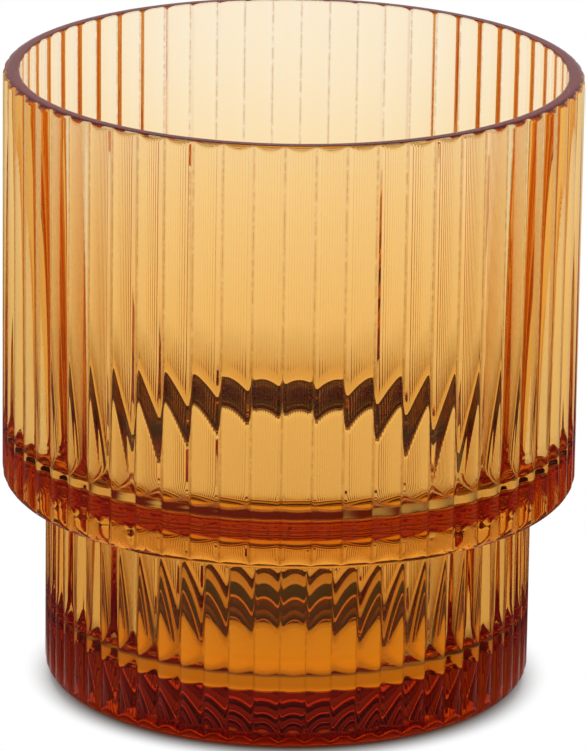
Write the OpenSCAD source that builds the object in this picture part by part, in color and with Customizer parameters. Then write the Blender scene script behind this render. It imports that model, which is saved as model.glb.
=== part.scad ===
// Stepped stacking tea glass: a wide reeded bowl on a narrower reeded foot, in clear amber glass.
// Standing on the table with the origin in the middle of its underside and +Z up the axis.

/* [Overall] */
// Height from the table to the rim
glass_h = 89.6; // [75:0.1:120]
// Number of reeds round each tier
reed_count = 60; // [36:1:72]

/* [Rim] */
// Height of the lip band
rim_h = 4; // [3:0.5:10]
// Glass thickness at the lip, reed crest to inside
rim_wall = 2.4; // [2.2:0.1:4]
// Radius of the lip's outer edge, where the reeds end in arches
rim_round = 1.2; // [0.8:0.1:1.6]
// Radius of the lip's inner edge
rim_inner_round = 0.4; // [0.2:0.1:0.5]

/* [Bowl] */
// Diameter of the bowl over its reed crests
bowl_d = 82; // [78:0.5:110]
// Glass thickness low on the bowl's wall, reed crest to inside
bowl_wall = 3; // [2.4:0.1:4]
// Depth of the grooves between the bowl's reeds
bowl_groove = 0.7; // [0.3:0.05:0.9]

/* [Shoulder] */
// Height of the stacking ledge above the table
ledge_h = 28.6; // [20:0.1:40]
// Width of the ledge, from the foot's reed crests out to the bowl's
ledge_w = 6.2; // [4.5:0.1:9]
// Radius of the hollow corner under the ledge, where the foot's reeds run out
ledge_fillet = 2.4; // [0.8:0.1:3]
// Radius of the bowl's lower outer corner, where the reeds end in scallops
shoulder_round = 2.8; // [1:0.1:3]
// Height of the shoulder, from the ledge to where the wall inside is straight
shoulder_rise = 11.5; // [9:0.1:16]
// Slope of the glass inside the shoulder, down towards the foot
shoulder_slope = 30; // [10:1:50]
// Radius of the hollow corner inside, between the wall and the slope
shoulder_hollow = 7.2; // [2:0.1:8]
// Radius of the edge inside, where the slope turns down into the foot
shoulder_edge = 3.6; // [0.5:0.1:5]

/* [Foot] */
// Glass thickness low on the foot's wall, reed crest to inside
foot_wall = 4.6; // [2.4:0.1:6]
// How much thinner the foot's wall is at its top
foot_draft = 0.3; // [0:0.1:1]
// Depth of the grooves between the foot's reeds
foot_groove = 0.6; // [0.3:0.05:0.8]

/* [Base] */
// Glass thickness of the floor at its rim
base_t = 6.2; // [4:0.1:10]
// Radius of the hollow corner round the floor
floor_hollow = 7.5; // [2:0.1:10]
// Radius of the heel's outer edge
heel_round = 2.8; // [1:0.1:3.5]
// Width of the flat ring that the glass stands on
ring_w = 8.8; // [3:0.1:15]
// Height of the push-up in its middle
push_up_h = 2.6; // [0.4:0.1:3]

/* [Hidden] */
$fn = 120;
amber = [0.86, 0.53, 0.16, 0.55];
// Radii over the crests
bowl_r = bowl_d / 2;
foot_r = bowl_r - ledge_w;
// The turned outline stands this far off the crests, so that the rounds cut the reeds cleanly
crest_relief = 0.1;
// Radii of the hollow inside
mouth_r = bowl_r - rim_wall;
bowl_in_r = bowl_r - bowl_wall;
foot_in_r = foot_r - foot_wall;
foot_top_r = foot_in_r + foot_draft;
// The two rounds inside the shoulder fit in the step between the hollows, and leave some of it to the slope
round_share = 0.95;
step_w = bowl_in_r - foot_top_r;
round_w = (shoulder_hollow + shoulder_edge) * (1 - sin(shoulder_slope));
round_fit = min(1, step_w * round_share / round_w);
hollow_r = shoulder_hollow * round_fit;
edge_r = shoulder_edge * round_fit;
// Levels where one region of the glass meets the next
floor_z = base_t;
foot_z = floor_z + floor_hollow;
bowl_z = ledge_h + shoulder_rise;
rim_z = glass_h - rim_h;
// The slope inside the shoulder, from its top to where it would meet the foot's wall in a sharp corner
slope_down = [-1, -tan(shoulder_slope)];
slope_run = step_w - round_w * round_fit;
slope_top = [bowl_in_r - hollow_r * (1 - sin(shoulder_slope)), bowl_z - hollow_r * cos(shoulder_slope)];
slope_low = slope_top + slope_run * slope_down;
slope_corner = slope_top + (slope_top.x - foot_top_r) * slope_down;
edge_mid = [foot_top_r + edge_r, slope_low.y - edge_r * cos(shoulder_slope)];
// The cut for the hollow runs this far past the rim
past = 5;
// The push-up is a shallow ball cap inside the ring
push_up_edge_r = foot_r + crest_relief - heel_round - ring_w;
push_up_r = (pow(push_up_edge_r, 2) + pow(push_up_h, 2)) / (2 * push_up_h);
push_up_fn = 720;

// Radius of one reed's round back, from the crest radius and the groove's depth
function reed_r(crest_r, groove) =
    let (half = 180 / reed_count)
    let (valley_r = crest_r - groove)
    let (half_w = valley_r * sin(half))
    let (rise = crest_r - valley_r * cos(half))
    (half_w * half_w + rise * rise) / (2 * rise);

// A reeded bar between two levels: touching round backs about a plain core
module reeded_bar(crest_r, groove, low, high) {
    back_r = reed_r(crest_r, groove);
    pitch_r = crest_r - back_r;
    translate([0, 0, low])
        linear_extrude(high - low) {
            circle(pitch_r);
            for (i = [0 : reed_count - 1])
                rotate(i * 360 / reed_count)
                    translate([pitch_r, 0])
                        circle(back_r);
        }
}

// Half section of a round bar between two levels, with its outer corners rounded
module rounded_half(r, low, high, low_round = 0, high_round = 0) {
    translate([0, low + low_round])
        square([r, high - low - low_round - high_round]);
    if (low_round > 0) {
        translate([0, low])
            square([r - low_round, low_round]);
        translate([r - low_round, low + low_round])
            circle(low_round);
    }
    if (high_round > 0) {
        translate([0, high - high_round])
            square([r - high_round, high_round]);
        translate([r - high_round, high - high_round])
            circle(high_round);
    }
}

// Half section of what lies between a square corner and its rounding, with the corner over the origin
module corner_piece(r) {
    difference() {
        square(r);
        translate([r, 0])
            circle(r);
    }
}

// Half section of the hollow inside the bowl
module bowl_hollow() {
    polygon([[0, bowl_z], [bowl_in_r, bowl_z], [mouth_r, rim_z], [mouth_r, glass_h + past],
        [0, glass_h + past]]);
    translate([mouth_r, glass_h - rim_inner_round])
        corner_piece(rim_inner_round);
    translate([bowl_in_r - hollow_r, bowl_z])
        circle(hollow_r);
    polygon([[0, bowl_z], [bowl_in_r - hollow_r, bowl_z], slope_top, slope_corner, [0, slope_corner.y]]);
}

// Half section of the hollow inside the foot
module foot_hollow() {
    translate([0, floor_z])
        square([foot_in_r - floor_hollow, floor_hollow]);
    translate([foot_in_r - floor_hollow, foot_z])
        circle(floor_hollow);
    polygon([[0, foot_z], [foot_in_r, foot_z], [foot_top_r, edge_mid.y], slope_corner, [0, slope_corner.y]]);
    difference() {
        polygon([slope_corner, slope_low, edge_mid, [foot_top_r, edge_mid.y]]);
        translate(edge_mid)
            circle(edge_r);
    }
}

// The lip: reeds end in arches under a flat land
module rim() {
    color(amber)
        intersection() {
            reeded_bar(bowl_r, bowl_groove, rim_z, glass_h);
            rotate_extrude()
                difference() {
                    rounded_half(bowl_r + crest_relief, rim_z, glass_h, high_round = rim_round);
                    bowl_hollow();
                }
        }
}

// The straight reeded wall of the upper tier
module bowl() {
    color(amber)
        difference() {
            reeded_bar(bowl_r, bowl_groove, bowl_z, rim_z);
            rotate_extrude()
                bowl_hollow();
        }
}

// The step between the tiers, with the stacking ledge underneath
module shoulder() {
    color(amber)
        intersection() {
            reeded_bar(bowl_r, bowl_groove, ledge_h, bowl_z);
            rotate_extrude()
                difference() {
                    rounded_half(bowl_r + crest_relief, ledge_h, bowl_z, low_round = shoulder_round);
                    bowl_hollow();
                    foot_hollow();
                }
        }
}

// The straight reeded wall of the lower tier, whose reeds run out in the corner under the ledge
module foot() {
    color(amber)
        difference() {
            union() {
                reeded_bar(foot_r, foot_groove, foot_z, ledge_h);
                rotate_extrude()
                    translate([foot_r - foot_groove - crest_relief, ledge_h - ledge_fillet])
                        corner_piece(ledge_fillet);
            }
            rotate_extrude()
                foot_hollow();
        }
}

// The thick floor with its hollow corner, rounded heel and dished underside
module base() {
    color(amber)
        intersection() {
            reeded_bar(foot_r, foot_groove, 0, foot_z);
            rotate_extrude()
                difference() {
                    rounded_half(foot_r + crest_relief, 0, foot_z, low_round = heel_round);
                    foot_hollow();
                    translate([0, push_up_h - push_up_r])
                        circle(push_up_r, $fn = push_up_fn);
                }
        }
}

rim();
bowl();
shoulder();
foot();
base();
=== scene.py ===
"""A stepped stacking tea glass in clear amber, reeded all round, on a plain pale floor."""
import math

import bpy
import numpy as np
from mathutils import Matrix, Vector


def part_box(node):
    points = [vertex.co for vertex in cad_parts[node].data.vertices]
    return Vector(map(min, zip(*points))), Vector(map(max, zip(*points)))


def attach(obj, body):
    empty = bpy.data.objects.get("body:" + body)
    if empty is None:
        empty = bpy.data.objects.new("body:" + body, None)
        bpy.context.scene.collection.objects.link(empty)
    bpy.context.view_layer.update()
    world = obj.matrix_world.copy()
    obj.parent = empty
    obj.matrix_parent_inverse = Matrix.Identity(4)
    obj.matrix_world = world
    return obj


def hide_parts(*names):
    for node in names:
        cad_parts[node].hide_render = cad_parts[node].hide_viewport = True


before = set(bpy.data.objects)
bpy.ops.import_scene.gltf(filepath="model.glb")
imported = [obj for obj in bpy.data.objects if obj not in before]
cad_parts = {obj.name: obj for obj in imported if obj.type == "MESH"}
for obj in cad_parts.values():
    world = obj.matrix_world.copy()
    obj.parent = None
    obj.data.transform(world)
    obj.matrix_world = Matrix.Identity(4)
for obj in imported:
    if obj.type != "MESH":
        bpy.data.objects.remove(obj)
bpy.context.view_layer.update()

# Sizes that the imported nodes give
GLASS_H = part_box("rim")[1].z
RIM_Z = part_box("rim")[0].z
BOWL_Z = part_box("bowl")[0].z
LEDGE_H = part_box("shoulder")[0].z
FOOT_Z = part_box("base")[1].z
BOWL_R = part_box("bowl")[1].x
FOOT_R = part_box("base")[1].x

# Sizes of the glass that its outside doesn't give, in metres
REED_COUNT = 60
BOWL_GROOVE = 0.0007
FOOT_GROOVE = 0.0006
RIM_WALL = 0.0024
BOWL_WALL = 0.003
FOOT_WALL = 0.0046
FOOT_DRAFT = 0.0003
RIM_ROUND = 0.0012
RIM_INNER_ROUND = 0.0004
LEDGE_FILLET = 0.0024
SHOULDER_ROUND = 0.0028
SHOULDER_SLOPE = math.radians(30)
SHOULDER_HOLLOW = 0.0072
SHOULDER_EDGE = 0.0036
BASE_T = 0.0062
HEEL_ROUND = 0.0028
RING_W = 0.0088
PUSH_UP_H = 0.0026
# The turned outline stands off the crests, so that the rounds cut the reeds cleanly
CREST_RELIEF = 0.0001
# Fire polishing eases the grooves, by a share of half a reed, and the cut ends of the reeds, by a length
GROOVE_SOFT = 0.1
END_SOFT = 0.00008
# Half width of the rough line at the bottom of a groove, with its painted shade, as a share of half a
# reed
GROOVE_LINE = 0.1

# Columns of the mesh over half a reed, crowded towards the groove
HALF_COLUMNS = 7
CROWDING = 1.5
# Steps along a round of the section, and along the small round inside the lip
ROUND_STEPS = 9
LIP_STEPS = 6
# Rings this close to the ends of a straight stretch keep the shading of the rounds off it
END_RING = 0.0002
END_SHARE = 0.25
# The arc of the push-up stops at this share of its angle, which keeps the edge of the ring crisp
PUSH_UP_SHARE = 0.98


def arc(centre, radius, start, end, steps=ROUND_STEPS):
    """Points of a round stretch of the section, from one angle to another in degrees."""
    angles = np.radians(np.linspace(start, end, steps + 1))
    return [(centre[0] + radius * math.cos(a), centre[1] + radius * math.sin(a)) for a in angles]


def straight(start, end):
    """Points of a straight stretch of the section."""
    near = min(END_RING / math.dist(start, end), END_SHARE)
    shares = (0, near, 1 - near, 1)
    return [(start[0] + (end[0] - start[0]) * t, start[1] + (end[1] - start[1]) * t) for t in shares]


def chain(*runs):
    """One list of points from runs that meet end to end."""
    points = []
    for run in runs:
        points += run if not points else run[1:]
    return points


def underside():
    """From the middle of the push-up out to the heel and up the foot to the corner under the ledge."""
    edge_r = FOOT_R + CREST_RELIEF
    ring_in = edge_r - HEEL_ROUND - RING_W
    ball_r = (ring_in ** 2 + PUSH_UP_H ** 2) / (2 * PUSH_UP_H)
    half_angle = math.degrees(math.asin(ring_in / ball_r))
    return chain(
        arc((0, PUSH_UP_H - ball_r), ball_r, 90, 90 - PUSH_UP_SHARE * half_angle) + [(ring_in, 0)],
        straight((ring_in, 0), (edge_r - HEEL_ROUND, 0)),
        arc((edge_r - HEEL_ROUND, HEEL_ROUND), HEEL_ROUND, -90, 0),
        straight((edge_r, HEEL_ROUND), (edge_r, LEDGE_H - LEDGE_FILLET)),
    )


def ledge_corner():
    """The hollow corner under the ledge, in which the foot's reeds run out."""
    corner_r = FOOT_R - FOOT_GROOVE - CREST_RELIEF
    return arc((corner_r + LEDGE_FILLET, LEDGE_H - LEDGE_FILLET), LEDGE_FILLET, 180, 90)


def upper_side():
    """From the ledge round the shoulder, up the bowl and over the lip."""
    edge_r = BOWL_R + CREST_RELIEF
    mouth_r = BOWL_R - RIM_WALL
    return chain(
        straight(ledge_corner()[-1], (edge_r - SHOULDER_ROUND, LEDGE_H)),
        arc((edge_r - SHOULDER_ROUND, LEDGE_H + SHOULDER_ROUND), SHOULDER_ROUND, -90, 0),
        straight((edge_r, LEDGE_H + SHOULDER_ROUND), (edge_r, GLASS_H - RIM_ROUND)),
        arc((edge_r - RIM_ROUND, GLASS_H - RIM_ROUND), RIM_ROUND, 0, 90),
        straight((edge_r - RIM_ROUND, GLASS_H), (mouth_r + RIM_INNER_ROUND, GLASS_H)),
    )


def hollow():
    """From the lip down the inside to the middle of the floor."""
    mouth_r = BOWL_R - RIM_WALL
    bowl_in_r = BOWL_R - BOWL_WALL
    foot_in_r = FOOT_R - FOOT_WALL
    foot_top_r = foot_in_r + FOOT_DRAFT
    floor_round = FOOT_Z - BASE_T
    slope = math.degrees(SHOULDER_SLOPE)
    lip = (mouth_r + RIM_INNER_ROUND, GLASS_H - RIM_INNER_ROUND)
    wall = arc((bowl_in_r - SHOULDER_HOLLOW, BOWL_Z), SHOULDER_HOLLOW, 0, slope - 90)
    edge_x = foot_top_r + SHOULDER_EDGE
    slope_run = wall[-1][0] - edge_x + SHOULDER_EDGE * math.sin(SHOULDER_SLOPE)
    edge_top_z = wall[-1][1] - slope_run * math.tan(SHOULDER_SLOPE)
    edge_z = edge_top_z - SHOULDER_EDGE * math.cos(SHOULDER_SLOPE)
    edge = arc((edge_x, edge_z), SHOULDER_EDGE, 90 + slope, 180)
    return chain(
        arc(lip, RIM_INNER_ROUND, 90, 180, LIP_STEPS),
        straight((mouth_r, GLASS_H - RIM_INNER_ROUND), (mouth_r, RIM_Z)),
        straight((mouth_r, RIM_Z), (bowl_in_r, BOWL_Z)),
        wall,
        straight(wall[-1], edge[0]),
        edge,
        straight(edge[-1], (foot_in_r, FOOT_Z)),
        arc((foot_in_r - floor_round, FOOT_Z), floor_round, 0, -90),
        straight((foot_in_r - floor_round, BASE_T), (0, BASE_T)),
    )


def column_angles():
    """Angles of the mesh's columns round the glass, with a reed's crest at zero."""
    pitch = 2 * math.pi / REED_COUNT
    from_groove = (np.arange(HALF_COLUMNS + 1) / HALF_COLUMNS) ** CROWDING
    half = np.concatenate([0.5 - 0.5 * from_groove[::-1], 0.5 + 0.5 * from_groove[1:-1]])
    return np.concatenate([(half + reed) * pitch for reed in range(REED_COUNT)])


def reed_radius(crest_r, groove, angles):
    """Radius of the reeded outline: round backs that meet in slightly soft grooves."""
    half = math.pi / REED_COUNT
    valley_r = crest_r - groove
    half_w = valley_r * math.sin(half)
    rise = crest_r - valley_r * math.cos(half)
    back_r = (half_w ** 2 + rise ** 2) / (2 * rise)
    pitch_r = crest_r - back_r
    off_crest = np.abs((angles + half) % (2 * half) - half)
    eased = half - np.hypot(half - off_crest, GROOVE_SOFT * half)
    return pitch_r * np.cos(eased) + np.sqrt(back_r ** 2 - (pitch_r * np.sin(eased)) ** 2)


def soft_least(a, b):
    """The lesser of two radii, with the edge between them eased."""
    share = np.clip(0.5 + 0.5 * (b - a) / END_SOFT, 0, 1)
    return b * (1 - share) + a * share - END_SOFT * share * (1 - share)


def soft_most(a, b):
    """The greater of two radii, with the edge between them eased."""
    return -soft_least(-a, -b)


def glass_rows(angles):
    """Rings of the mesh, from the push-up round to the floor, and the groove lines on them, which carry
    roughness and painted shade.

    A ring is a radius for each column and one level.
    """
    foot_edge = reed_radius(FOOT_R, FOOT_GROOVE, angles)
    bowl_edge = reed_radius(BOWL_R, BOWL_GROOVE, angles)
    rings = [(soft_least(r, foot_edge), z) for r, z in underside()[1:]]
    rings += [(soft_most(r, foot_edge), z) for r, z in ledge_corner()[1:]]
    rings += [(soft_least(r, bowl_edge), z) for r, z in upper_side()[1:]]
    outside = len(rings)
    rings += [(np.full(len(angles), r), z) for r, z in hollow()[1:-1]]
    off_groove = np.abs((angles * REED_COUNT / math.pi) % 2 - 1)
    in_groove = np.clip(1 - off_groove / GROOVE_LINE, 0, 1)
    lines = []
    for ring, (radius, level) in enumerate(rings):
        edge = bowl_edge if level > LEDGE_H else foot_edge
        reeded = np.abs(radius - edge) < END_SOFT
        lines.append(in_groove * reeded * (ring < outside))
    return rings, lines


def glass_mesh():
    """One closed skin of the whole glass: the reeded outside, the lip and the plain inside."""
    angles = column_angles()
    count = len(angles)
    rings, lines = glass_rows(angles)
    points = [(0, 0, underside()[0][1])]
    for radius, level in rings:
        points += zip(radius * np.cos(angles), radius * np.sin(angles), np.full(count, level))
    points.append((0, 0, hollow()[-1][1]))
    first = np.arange(count)
    after = (first + 1) % count
    faces = [(0, 1 + b, 1 + a) for a, b in zip(first, after)]
    for ring in range(len(rings) - 1):
        low = 1 + ring * count
        high = low + count
        faces += zip(low + first, low + after, high + after, high + first)
    last = 1 + (len(rings) - 1) * count
    faces += [(last + a, last + b, len(points) - 1) for a, b in zip(first, after)]
    mesh = bpy.data.meshes.new("glass")
    mesh.from_pydata([tuple(map(float, p)) for p in points], [], [tuple(map(int, f)) for f in faces])
    mesh.polygons.foreach_set("use_smooth", [True] * len(mesh.polygons))
    groove = mesh.attributes.new("groove", "FLOAT", "POINT")
    groove.data.foreach_set("value", np.concatenate([[0], *lines, [0]]).astype(np.float32))
    mesh.update()
    return mesh


def math_node(tree, operation, first, second):
    """A math node fed by two sockets or numbers."""
    node = tree.nodes.new("ShaderNodeMath")
    node.operation = operation
    for socket, value in zip(node.inputs, (first, second)):
        if isinstance(value, (int, float)):
            socket.default_value = value
        else:
            tree.links.new(value, socket)
    return node.outputs["Value"]


def ramp(tree, value, low, high):
    """A smooth rise from nought to one between two values."""
    node = tree.nodes.new("ShaderNodeMapRange")
    node.interpolation_type = "SMOOTHSTEP"
    node.inputs["From Min"].default_value = low
    node.inputs["From Max"].default_value = high
    tree.links.new(value, node.inputs["Value"])
    return node.outputs["Result"]


def blend(tree, share, first, second):
    """A colour between two, each a colour or a socket."""
    mix = tree.nodes.new("ShaderNodeMix")
    mix.data_type = "RGBA"
    tree.links.new(share, mix.inputs["Factor"])
    sockets = [socket for socket in mix.inputs if socket.type == "RGBA"]
    for socket, colour in zip(sockets, (first, second)):
        if isinstance(colour, tuple):
            socket.default_value = colour
        else:
            tree.links.new(colour, socket)
    return [socket for socket in mix.outputs if socket.type == "RGBA"][0]


def stepped(tree, value, stops):
    """A level read off a row of stops, each a place from 0 to 1 and its level."""
    levels = tree.nodes.new("ShaderNodeValToRGB")
    marks = levels.color_ramp.elements
    marks.remove(marks[1])
    for index, (place, level) in enumerate(stops):
        mark = marks[0] if index == 0 else marks.new(place)
        mark.position = place
        mark.color = (level, level, level, 1)
    tree.links.new(value, levels.inputs["Fac"])
    return levels.outputs["Color"]


def noise(tree, place, scale, detail):
    """A noise level over a place."""
    node = tree.nodes.new("ShaderNodeTexNoise")
    node.inputs["Scale"].default_value = scale
    node.inputs["Detail"].default_value = detail
    tree.links.new(place, node.inputs["Vector"])
    return node.outputs["Fac"]


# Light that a metre of the glass takes out of red, green and blue
ABSORPTION = (10, 53, 154)
# Tint of the skin low on the glass and at the lip, and the height from which it gets paler: the amber
# tint is the glass's own, its paling towards the lip is painted light
SHADED_LOW_TINT = (1, 0.828, 0.54, 1)
LIT_LIP_TINT = (1, 0.955, 0.9, 1)
LIP_FADE = 0.6 * GLASS_H
# The rough line at the bottom of each groove, broken up by a fine grain: its roughness is real, its
# darker tint is painted shade
GROOVE_PAINTED_SHADE = (0.52, 0.27, 0.08, 1)
GROOVE_ROUGHNESS = 0.2
GRAIN_SCALE = 1200
GRAIN_DETAIL = 1
GRAIN_RANGE = (0.1, 0.65)
# Faint ripple of the pressed surface, with its depth in metres
RIPPLE_SCALE = 90
RIPPLE_DETAIL = 2
RIPPLE_DEPTH = 0.00001
GLASS_IOR = 1.52
# Share of the mirror reflection that is kept, because the photograph shows little of it
MIRROR = 0.35


def amber_glass():
    """Clear amber: a tinted skin, paler towards the lip as painted light, and colour by depth, with a
    faint ripple and rough lines of painted shade in the grooves.
    """
    material = bpy.data.materials.new("amber_glass")
    material.use_nodes = True
    tree = material.node_tree
    shader = tree.nodes["Principled BSDF"]
    shader.inputs["Transmission Weight"].default_value = 1
    shader.inputs["IOR"].default_value = GLASS_IOR
    shader.inputs["Specular Tint"].default_value = (MIRROR, MIRROR, MIRROR, 1)
    densest = max(ABSORPTION)
    depth = tree.nodes.new("ShaderNodeVolumeAbsorption")
    depth.inputs["Color"].default_value = (*[1 - a / densest for a in ABSORPTION], 1)
    depth.inputs["Density"].default_value = densest
    tree.links.new(depth.outputs["Volume"], tree.nodes["Material Output"].inputs["Volume"])

    place = tree.nodes.new("ShaderNodeTexCoord").outputs["Object"]
    groove = tree.nodes.new("ShaderNodeAttribute")
    groove.attribute_name = "groove"
    grain = ramp(tree, noise(tree, place, GRAIN_SCALE, GRAIN_DETAIL), *GRAIN_RANGE)
    line = math_node(tree, "MULTIPLY", groove.outputs["Fac"], grain)
    parts = tree.nodes.new("ShaderNodeSeparateXYZ")
    tree.links.new(place, parts.inputs["Vector"])
    # Painted light and shade: the skin is deeper amber low down and paler towards the lip
    skin = blend(tree, ramp(tree, parts.outputs["Z"], LIP_FADE, GLASS_H), SHADED_LOW_TINT, LIT_LIP_TINT)
    # Painted shade: the skin turns darker brown along the lines in the grooves
    tree.links.new(blend(tree, line, skin, GROOVE_PAINTED_SHADE), shader.inputs["Base Color"])
    tree.links.new(math_node(tree, "MULTIPLY", line, GROOVE_ROUGHNESS), shader.inputs["Roughness"])

    bump = tree.nodes.new("ShaderNodeBump")
    bump.inputs["Strength"].default_value = 1
    bump.inputs["Distance"].default_value = RIPPLE_DEPTH
    tree.links.new(noise(tree, place, RIPPLE_SCALE, RIPPLE_DETAIL), bump.inputs["Height"])
    tree.links.new(bump.outputs["Normal"], shader.inputs["Normal"])
    return material


glass = bpy.data.objects.new("glass", glass_mesh())
bpy.context.scene.collection.objects.link(glass)
glass.data.materials.append(amber_glass())
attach(glass, "root")
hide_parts("rim", "bowl", "shoulder", "foot", "base")


# Camera of the photograph: distance and target in bowl radii, height angle, lean and turn in degrees
IMAGE_H = 751
FOCAL_PX = 6834
SENSOR_W = 36
CLIP_END = 100
CAMERA_FAR = 23.8 * BOWL_R
CAMERA_ELEVATION = 17.61
CAMERA_LEAN = 0.81
CAMERA_TURN = -1.6
TARGET = Vector((0.0107 * BOWL_R, 0, 1.0811 * BOWL_R))


def camera():
    """A long lens at the photograph's viewing angle."""
    data = bpy.data.cameras.new("camera")
    data.sensor_width = SENSOR_W
    data.lens = FOCAL_PX * SENSOR_W / IMAGE_H
    data.clip_end = CLIP_END
    height = math.radians(CAMERA_ELEVATION)
    place = TARGET + CAMERA_FAR * Vector((0, -math.cos(height), math.sin(height)))
    look = (TARGET - place).to_track_quat("-Z", "Y").to_matrix().to_4x4()
    lean = Matrix.Rotation(math.radians(CAMERA_LEAN), 4, "Z")
    turn = Matrix.Rotation(math.radians(CAMERA_TURN), 4, "Z")
    holder = bpy.data.objects.new("camera", data)
    holder.matrix_world = turn @ Matrix.Translation(place) @ look @ lean
    bpy.context.scene.collection.objects.link(holder)
    bpy.context.scene.camera = holder


# Floor: pale and lit, a hair under the glass
FLOOR_SIZE = 8
FLOOR_DROP = 0.0001
FLOOR_COLOUR = 0.85
FLOOR_ROUGHNESS = 0.9
# Through the glass: a painted pool of amber light under it, which dims from its core outwards to a share
PAINTED_POOL_COLOUR = (0.8, 0.5, 0.06, 1)
POOL_R = 0.93 * FOOT_R
POOL_SOFT = 0.0015
POOL_CORE = 0.5 * FOOT_R
POOL_FADE = 0.75 * FOOT_R
POOL_EDGE = 0.66
# Through the glass: its painted amber shadow right in front, with the radii and the turn over which it
# fades
PAINTED_SHADOW_COLOUR = (0.14, 0.02, 0.006, 1)
SHADE_R = (1.4 * FOOT_R, 1.8 * FOOT_R)
SHADE_TURN = (0.12, 0.35)
WHITE = (1, 1, 1, 1)
# Radii between which the floor turns white to the camera, in the gloss and through the glass
CAMERA_WHITE = (0.92 * FOOT_R, 1.1 * FOOT_R)
GLOSS_WHITE = (1.0 * FOOT_R, 1.3 * FOOT_R)
GLASS_WHITE = (1.5 * BOWL_R, 6.2 * BOWL_R)
# Level of that white in the gloss and through the glass, from the front at 0 round to the back at 1;
# where it is under 1 it is painted shade
GLOSS_LEVELS = ((0.0, 0.25), (0.08, 0.25), (0.25, 0.1), (0.7, 0.1), (0.9, 0.0), (1.0, 0.5))
GLASS_LEVELS = ((0.0, 0.88), (0.78, 0.88), (0.92, 1.0))
# That back lies this far to the right of straight behind the glass
BACK_TURN = math.radians(17.5)


def floor_place(tree):
    """A floor point's distance from the glass, and its turn from the front at 0 to the back at 1."""
    place = tree.nodes.new("ShaderNodeTexCoord").outputs["Object"]
    far = tree.nodes.new("ShaderNodeVectorMath")
    far.operation = "LENGTH"
    tree.links.new(place, far.inputs[0])
    back = tree.nodes.new("ShaderNodeVectorMath")
    back.operation = "DOT_PRODUCT"
    back.inputs[1].default_value = (math.sin(BACK_TURN), math.cos(BACK_TURN), 0)
    tree.links.new(place, back.inputs[0])
    radius = far.outputs["Value"]
    cosine = math_node(tree, "DIVIDE", back.outputs["Value"], radius)
    return radius, math_node(tree, "ADD", math_node(tree, "MULTIPLY", cosine, 0.5), 0.5)


def ray_kinds(tree):
    """Whether a ray comes from the camera, from a mirror reflection or through the glass.

    A ray that the glass bends counts as glossy too, so it is taken off the mirrored ones.
    """
    path = tree.nodes.new("ShaderNodeLightPath")
    through = path.outputs["Is Transmission Ray"]
    mirrored = math_node(tree, "SUBTRACT", path.outputs["Is Glossy Ray"], through)
    return path.outputs["Is Camera Ray"], mirrored, through


def floor_material():
    """A pale lit floor that turns white away from the glass, with levels of its own seen in the glass: a
    painted pool of amber light under it and a painted shadow in front.
    """
    material = bpy.data.materials.new("floor")
    material.use_nodes = True
    tree = material.node_tree
    shader = tree.nodes["Principled BSDF"]
    shader.inputs["Base Color"].default_value = (FLOOR_COLOUR, FLOOR_COLOUR, FLOOR_COLOUR, 1)
    shader.inputs["Roughness"].default_value = FLOOR_ROUGHNESS
    shader.inputs["Specular IOR Level"].default_value = 0
    radius, turn = floor_place(tree)
    camera_ray, gloss_ray, glass_ray = ray_kinds(tree)

    # Outside the painted pool of light, and in the painted shadow in front
    outside = ramp(tree, radius, POOL_R - POOL_SOFT, POOL_R + POOL_SOFT)
    ahead = math_node(tree, "SUBTRACT", 1, ramp(tree, turn, *SHADE_TURN))
    shade = math_node(tree, "SUBTRACT", outside, ramp(tree, radius, *SHADE_R))
    shade = math_node(tree, "MULTIPLY", math_node(tree, "MULTIPLY", shade, ahead), glass_ray)

    # Share of the set colours over the lit floor
    share = math_node(tree, "MAXIMUM", shade, math_node(tree, "SUBTRACT", glass_ray, outside))
    for ray, radii in ((camera_ray, CAMERA_WHITE), (gloss_ray, GLOSS_WHITE), (glass_ray, GLASS_WHITE)):
        white = math_node(tree, "MULTIPLY", ray, ramp(tree, radius, *radii))
        share = math_node(tree, "MAXIMUM", share, white)

    # How far they fall short of full strength
    fall = math_node(tree, "SUBTRACT", ramp(tree, radius, POOL_CORE, POOL_FADE), outside)
    fall = math_node(tree, "MULTIPLY", math_node(tree, "MAXIMUM", fall, 0), 1 - POOL_EDGE)
    for ray, stops in ((gloss_ray, GLOSS_LEVELS), (glass_ray, GLASS_LEVELS)):
        less = math_node(tree, "SUBTRACT", 1, stepped(tree, turn, stops))
        less = math_node(tree, "MULTIPLY", less, math_node(tree, "MULTIPLY", ray, outside))
        fall = math_node(tree, "MAXIMUM", fall, less)

    glow = tree.nodes.new("ShaderNodeEmission")
    # Painted pool of amber light under the glass and painted amber shadow in front, seen only through the
    # glass
    colour = blend(tree, shade, blend(tree, outside, PAINTED_POOL_COLOUR, WHITE), PAINTED_SHADOW_COLOUR)
    tree.links.new(colour, glow.inputs["Color"])
    tree.links.new(math_node(tree, "SUBTRACT", 1, fall), glow.inputs["Strength"])
    mix = tree.nodes.new("ShaderNodeMixShader")
    tree.links.new(share, mix.inputs["Fac"])
    tree.links.new(shader.outputs["BSDF"], mix.inputs[1])
    tree.links.new(glow.outputs["Emission"], mix.inputs[2])
    tree.links.new(mix.outputs["Shader"], tree.nodes["Material Output"].inputs["Surface"])
    return material


def floor():
    """The plain floor."""
    bpy.ops.mesh.primitive_plane_add(size=FLOOR_SIZE, location=(0, 0, -FLOOR_DROP))
    plane = bpy.context.object
    plane.name = "floor"
    plane.data.materials.append(floor_material())


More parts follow.
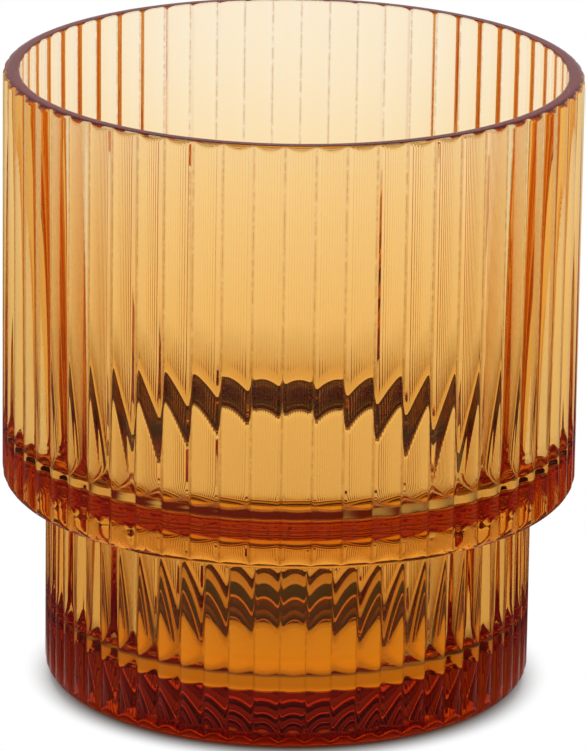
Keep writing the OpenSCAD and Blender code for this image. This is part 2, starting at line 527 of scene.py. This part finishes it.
# Room: a pale band over the horizon and a dim ceiling, as grey levels by the sine of the height angle
ROOM_LEVELS = ((0.0, 0.34), (0.3, 0.28), (0.5, 0.22), (0.64, 0.02))
# Share of white that the mirror of the glass sees in it
ROOM_MIRROR = 0.3


def room():
    """The dim room round the glass, white to the camera past the floor and partly so in the mirror."""
    world = bpy.data.worlds.new("room")
    world.use_nodes = True
    tree = world.node_tree
    light = tree.nodes["Background"]
    parts = tree.nodes.new("ShaderNodeSeparateXYZ")
    heading = tree.nodes.new("ShaderNodeTexCoord").outputs["Generated"]
    tree.links.new(heading, parts.inputs["Vector"])
    tree.links.new(stepped(tree, parts.outputs["Z"], ROOM_LEVELS), light.inputs["Color"])
    white = tree.nodes.new("ShaderNodeBackground")
    white.inputs["Color"].default_value = WHITE
    camera_ray, gloss_ray, _ = ray_kinds(tree)
    mirrored = math_node(tree, "MULTIPLY", gloss_ray, ROOM_MIRROR)
    mix = tree.nodes.new("ShaderNodeMixShader")
    tree.links.new(math_node(tree, "MAXIMUM", camera_ray, mirrored), mix.inputs["Fac"])
    tree.links.new(light.outputs["Background"], mix.inputs[1])
    tree.links.new(white.outputs["Background"], mix.inputs[2])
    tree.links.new(mix.outputs["Shader"], tree.nodes["World Output"].inputs["Surface"])
    bpy.context.scene.world = world


# Lamp: a square soft box behind and above, with its side in metres and its power in watts
LAMP_PLACE = Vector((0, 0.75, 0.85))
LAMP_SIZE = 0.8
LAMP_POWER = 15


def back_lamp():
    """A soft lamp that faces the glass, and shows neither through it nor in its mirror."""
    data = bpy.data.lights.new("back", "AREA")
    data.size = LAMP_SIZE
    data.energy = LAMP_POWER
    lamp = bpy.data.objects.new("back", data)
    lamp.location = LAMP_PLACE
    lamp.rotation_euler = (TARGET - LAMP_PLACE).to_track_quat("-Z", "Y").to_euler()
    lamp.visible_transmission = False
    lamp.visible_glossy = False
    bpy.context.scene.collection.objects.link(lamp)


camera()
floor()
room()
back_lamp()

scene = bpy.context.scene
scene.view_settings.view_transform = "Standard"
# Thick glass needs long light paths
scene.cycles.max_bounces = 32
scene.cycles.transmission_bounces = 32
scene.cycles.glossy_bounces = 16
